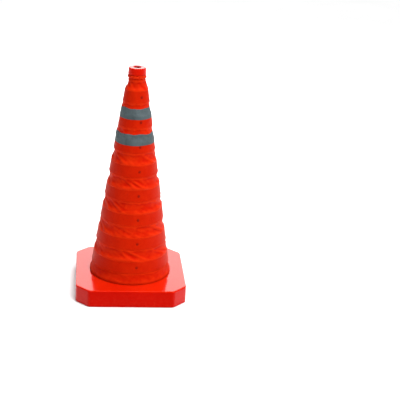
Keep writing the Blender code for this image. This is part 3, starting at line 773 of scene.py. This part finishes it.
def cut_square(bm, half, chamfer, z_low, z_high, edge_r, corner_r, steps):
    """A square block with cut corners, rounded upright edges and a rounded top edge."""
    cut = half - chamfer
    corners = [(cut, -half), (half, -cut), (half, cut), (cut, half),
               (-cut, half), (-half, cut), (-half, -cut), (-cut, -half)]
    face = bm.faces.new([bm.verts.new((x, y, z_low)) for x, y in corners])
    grown = bmesh.ops.extrude_face_region(bm, geom=[face])
    top = [item for item in grown["geom"] if isinstance(item, bmesh.types.BMVert)]
    bmesh.ops.translate(bm, verts=top, vec=(0, 0, z_high - z_low))
    bm.normal_update()
    upright = [e for e in bm.edges if abs(e.verts[0].co.z - e.verts[1].co.z) > 1e-6]
    bmesh.ops.bevel(bm, geom=upright, offset=corner_r, offset_type="OFFSET", segments=steps,
                    profile=0.5, affect="EDGES")
    upper = [e for e in bm.edges if min(v.co.z for v in e.verts) > z_high - 1e-6]
    bmesh.ops.bevel(bm, geom=upper, offset=edge_r, offset_type="OFFSET", segments=steps,
                    profile=0.5, affect="EDGES")


def apply_boolean(obj, tool, operation):
    """Joins the tool to an object, or cuts it away, and removes the tool."""
    mod = obj.modifiers.new("cut", "BOOLEAN")
    mod.object, mod.operation, mod.solver = tool, operation, "EXACT"
    bpy.context.view_layer.update()
    graph = bpy.context.evaluated_depsgraph_get()
    mesh = bpy.data.meshes.new_from_object(obj.evaluated_get(graph))
    obj.modifiers.clear()
    old = obj.data
    obj.data = mesh
    bpy.data.meshes.remove(old)
    bpy.data.objects.remove(tool, do_unlink=True)


def make_base():
    """The hollow moulded cover, with fine roundings where the light catches it."""
    half, foot, top, wall, steps = base_high[0], base_low[2], BASE_TOP, BASE_WALL, 144
    inner_chamfer = BASE_CHAMFER - wall * (2 - math.sqrt(2))
    bm = bmesh.new()
    cut_square(bm, half, BASE_CHAMFER, foot, top, BASE_EDGE_R, BASE_CORNER_R, 7)
    cover = object_from(bm, "base_shell", MATERIALS["base"])
    bm = bmesh.new()
    cut_square(bm, half - wall, inner_chamfer, -0.01, top - wall, 0.003, 0.004, 3)
    apply_boolean(cover, object_from(bm, "tool_hollow", None), "DIFFERENCE")
    bm = bmesh.new()
    outside, within = MOUTH_R + wall, top - wall / 2
    spin(bm, [(0.0, COLLAR_Z), (outside, COLLAR_Z), (outside, within), (0.0, within)], steps, closed=False)
    apply_boolean(cover, object_from(bm, "tool_collar", None), "UNION")
    bm = bmesh.new()
    ease = [(MOUTH_R + MOUTH_FLARE * (1 - math.cos(a)), top - MOUTH_FLARE + MOUTH_FLARE * math.sin(a))
            for a in np.linspace(0, math.pi / 2, 5)]
    widest = MOUTH_R + MOUTH_FLARE
    spin(bm, [(0.0, COLLAR_Z - 0.005), (MOUTH_R, COLLAR_Z - 0.005)] + ease[:-1] +
         [(widest, top + 0.0001), (widest, top + 0.004), (0.0, top + 0.004)], steps, closed=False)
    apply_boolean(cover, object_from(bm, "tool_mouth", None), "DIFFERENCE")
    cover.data.shade_smooth()
    cover.data.set_sharp_from_angle(angle=math.radians(35))
    weighted = cover.modifiers.new("normals", "WEIGHTED_NORMAL")
    weighted.keep_sharp = True
    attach(cover, "base")
    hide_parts("base_cover")


def make_cap():
    """The tubular cap: flat rim, dark through hole, rounded edges and a groove over the collar."""
    top, low = CAP_TOP, cap_low[2]
    groove = 0.6085
    rim, outer, hole, skirt, wall = 0.0232, cap_high[0], 0.0103, 0.0190, 0.0020

    def arc(centre_r, centre_z, radius, start, end, count=6):
        return [(centre_r + radius * math.cos(a), centre_z + radius * math.sin(a))
                for a in np.radians(np.linspace(start, end, count))]

    outline = [(skirt - wall, low), (skirt, low), (skirt, groove - 0.0003)]
    outline += arc(outer - 0.0012, groove + 0.0009, 0.0012, -90, 0)
    outline += arc(rim - 0.0020, top - 0.0020, 0.0020, 0, 90, 9)
    outline += arc(hole + 0.0012, top - 0.0012, 0.0012, 90, 180)
    outline += [(hole, top - 0.003), (skirt - wall, top - 0.004)]
    bm = bmesh.new()
    spin(bm, outline, 96)
    cap = object_from(bm, "cap_shell", MATERIALS["cap"], 40.0)
    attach(cap, "cap")
    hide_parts("cap_body")


def dress_frame():
    """Better materials on the CAD nodes that stay."""
    looks = {"base_plate": "plate", "clamp_ring": "clamp", "neck_band": "hoop"}
    looks.update({f"ring_strip_{n}": "hoop" for n in range(1, RINGS + 1)})
    looks.update({f"rivet_{n}": "rivet" for n in range(1, RINGS + 1)})
    looks.update({f"clamp_rivet_{n}": "rivet" for n in range(1, 7)})
    looks.update({f"plate_screw_{n}": "screw" for n in range(1, 5)})
    looks.update({f"foot_{n}": "rubber" for n in range(1, 5)})
    for name, look in looks.items():
        for place in bpy.data.objects[name].material_slots:
            place.material = MATERIALS[look]


# ---- assembly -------------------------------------------------------------------------------------
make_camera()
make_studio()
make_materials()
make_base()
make_cap()
folds = {stage: settle(stage, grid) for stage, grid in simulate_panels().items()}
for stage in range(1, RINGS + 2):
    make_stage_fabric(stage, folds[stage])
for tape_name, stage, lap, height in TAPES:
    make_tape(tape_name, stage, lap, height, folds[stage])
make_hem()
make_collar()
dress_frame()

low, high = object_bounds()
